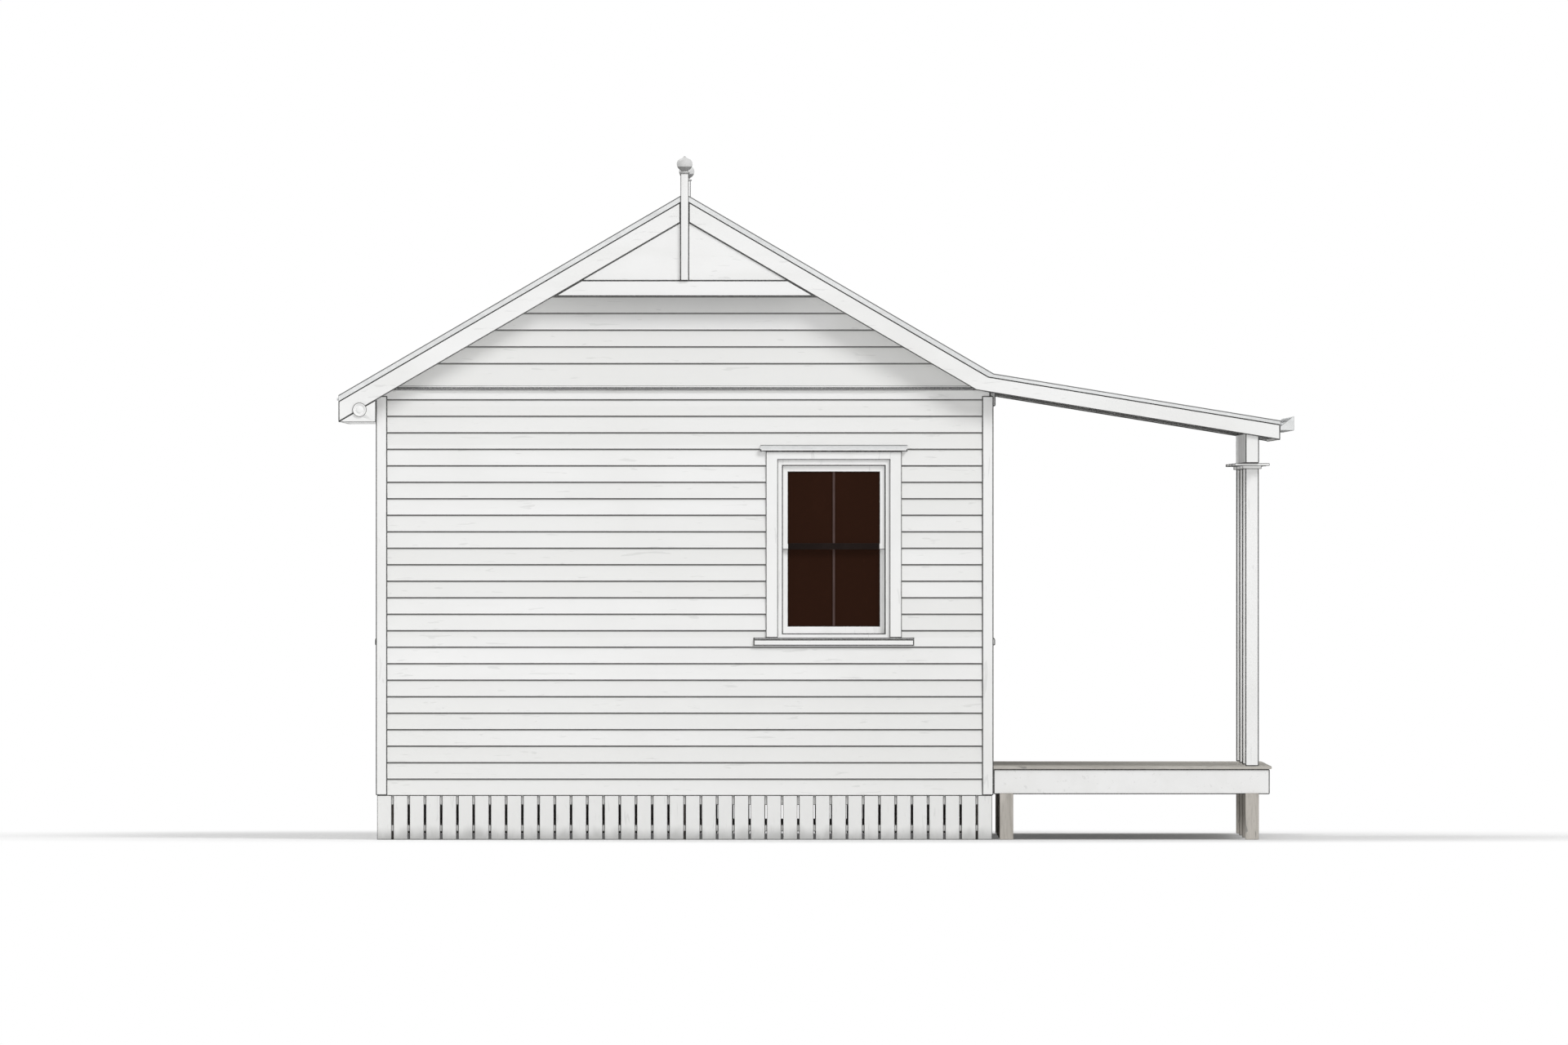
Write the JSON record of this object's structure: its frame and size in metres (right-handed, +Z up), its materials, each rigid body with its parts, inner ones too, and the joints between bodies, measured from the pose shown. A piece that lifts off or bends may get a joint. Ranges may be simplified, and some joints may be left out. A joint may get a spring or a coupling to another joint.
{
  "type": "small weatherboard cottage",
  "caption": "Single-room weatherboard cottage on stumps with a gabled metal roof, boxed rear eave, turned finials and a verandah along the front.",
  "frame": {"origin": "on the ground, under the middle of the building's overall box", "axes": "+X towards the verandah (front), +Y towards the right-hand gable end, +Z up"},
  "size_m": [7.032, 7.7056, 5.022],
  "materials": {
    "timber_frame": "rough sawn hardwood",
    "floorboards": "worn boards, oiled",
    "painted_wall": "satin white paint",
    "painted_trim": "satin white paint",
    "base_paint": "satin white paint, a little splashed",
    "roof_sheet": "pale grey corrugated steel, satin",
    "roof_trim": "pale grey folded steel, satin",
    "window_glass": "dark brown glass",
    "door_paint": "dark brown satin paint"
  },
  "bodies": {
    "root": {"stumps": "timber_frame", "floor_bearers": "timber_frame", "floor_joists": "timber_frame", "floor": "floorboards", "left_base_boards": "base_paint", "right_base_boards": "base_paint", "front_base_boards": "base_paint", "rear_base_boards": "base_paint", "left_wall": "painted_wall", "right_wall": "painted_wall", "front_wall": "painted_wall", "rear_wall": "painted_wall", "gable_walls": "painted_wall", "ceiling": "painted_wall", "corner_stops": "painted_trim", "belt_mouldings": "painted_trim", "barge_boards": "painted_trim", "barge_cappings": "roof_trim", "collar_boards": "painted_trim", "apex_panels": "painted_trim", "king_posts": "painted_trim", "soffits": "painted_trim", "eave_end_panels": "painted_trim", "fascia_boards": "painted_trim", "rear_roof": "roof_sheet", "front_roof": "roof_sheet", "ridge_capping": "roof_trim", "verandah_bearers": "timber_frame", "verandah_joists": "timber_frame", "verandah_floor": "floorboards", "verandah_edge_boards": "painted_trim", "verandah_posts": "painted_trim", "post_capitals": "painted_trim", "verandah_beams": "painted_trim", "verandah_rafters": "painted_trim", "verandah_roof": "roof_sheet", "verandah_gutter": "roof_trim", "window_frames": "painted_trim", "window_sashes": "painted_trim", "window_glass": "window_glass", "window_architraves": "painted_trim", "window_hoods": "painted_trim", "window_sills": "painted_trim", "door_frame": "painted_trim", "front_door": "door_paint"}
  },
  "joints": []
}
